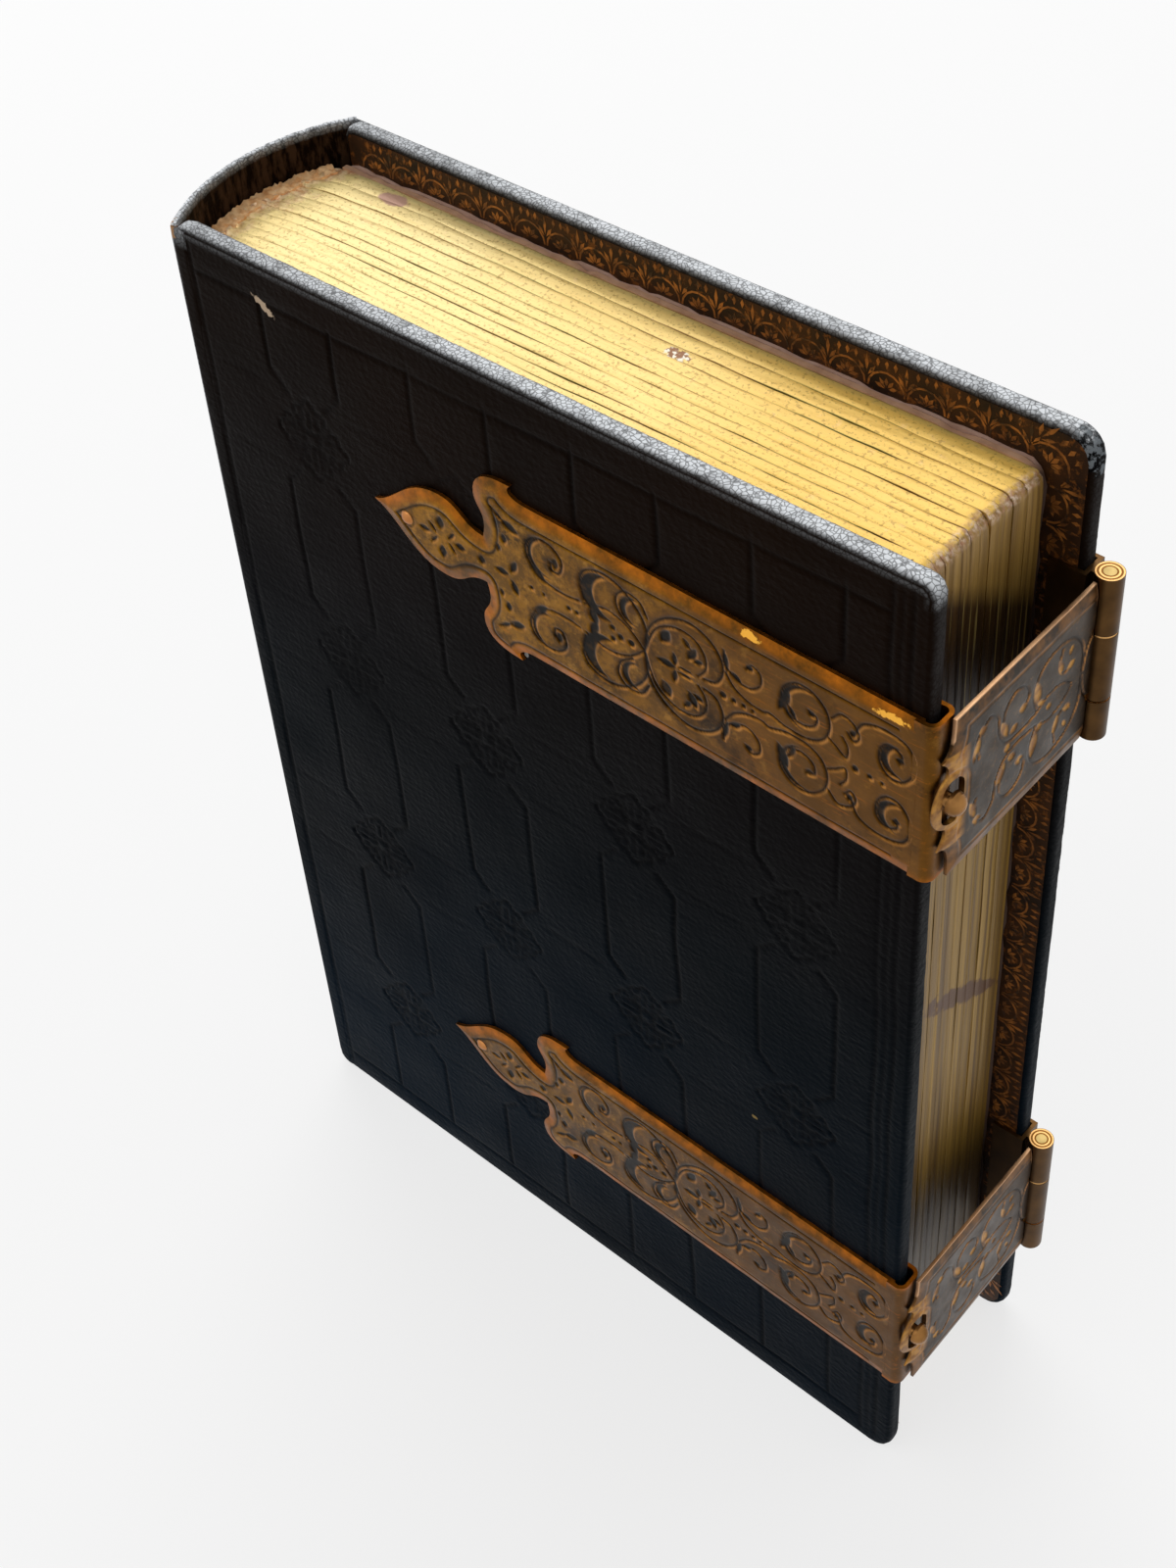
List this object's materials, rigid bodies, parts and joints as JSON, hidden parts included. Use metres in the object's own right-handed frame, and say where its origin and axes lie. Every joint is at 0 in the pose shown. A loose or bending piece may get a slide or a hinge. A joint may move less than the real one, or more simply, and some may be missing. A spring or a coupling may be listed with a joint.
{
  "type": "photo album",
  "caption": "Upright leather photo album with gilt card leaves, tooled covers and engraved brass clasps whose straps hook over studs; covers and straps turn.",
  "frame": {"origin": "middle of the base of the whole closed album, on the surface that it stands on", "axes": "+X from the spine to the fore-edge, +Y from the front cover to the back cover, +Z from tail to head"},
  "size_m": [0.114, 0.0324, 0.155],
  "materials": {
    "leather": "satin grained",
    "gilt_leaves": "gilt edges, semi-gloss",
    "flyleaf_paper": "matte",
    "lining_paper": "matte, crumbly",
    "pasteboard": "matte",
    "lining_card": "matte",
    "plate_brass": "engraved, aged satin",
    "stud_brass": "polished by wear",
    "pin_metal": "satin",
    "strap_brass": "engraved, dark patina"
  },
  "bodies": {
    "book_block": {"page_block": "gilt_leaves", "front_flyleaf": "flyleaf_paper", "back_flyleaf": "flyleaf_paper", "spine_leather": "leather", "spine_lining": "lining_paper"},
    "front_cover": {"front_board": "pasteboard", "front_leather": "leather", "front_pastedown": "lining_card", "upper_front_plate": "plate_brass", "lower_front_plate": "plate_brass", "upper_stud": "stud_brass", "lower_stud": "stud_brass", "upper_plate_tack": "stud_brass", "lower_plate_tack": "stud_brass"},
    "back_cover": {"back_board": "pasteboard", "back_leather": "leather", "back_pastedown": "lining_card", "upper_hinge_plate": "plate_brass", "lower_hinge_plate": "plate_brass", "upper_hinge_pin": "pin_metal", "lower_hinge_pin": "pin_metal", "upper_hinge_tacks": "stud_brass", "lower_hinge_tacks": "stud_brass"},
    "upper_strap": {"upper_strap": "strap_brass"},
    "lower_strap": {"lower_strap": "strap_brass"}
  },
  "joints": [
    {"name": "front_cover_hinge", "type": "hinge", "parent": "book_block", "child": "front_cover", "pos_m": [-0.0525, -0.01473, 0.0775], "axis": [0, 0, -1], "range_deg": [0, 170]},
    {"name": "back_cover_hinge", "type": "hinge", "parent": "book_block", "child": "back_cover", "pos_m": [-0.0525, 0.01528, 0.0775], "axis": [0, 0, 1], "range_deg": [0, 170]},
    {"name": "upper_strap_hinge", "type": "hinge", "parent": "back_cover", "child": "upper_strap", "pos_m": [0.0554, 0.01358, 0.1275], "axis": [0, 0, 1], "range_deg": [0, 180]},
    {"name": "lower_strap_hinge", "type": "hinge", "parent": "back_cover", "child": "lower_strap", "pos_m": [0.0554, 0.01358, 0.031], "axis": [0, 0, 1], "range_deg": [0, 180]}
  ]
}
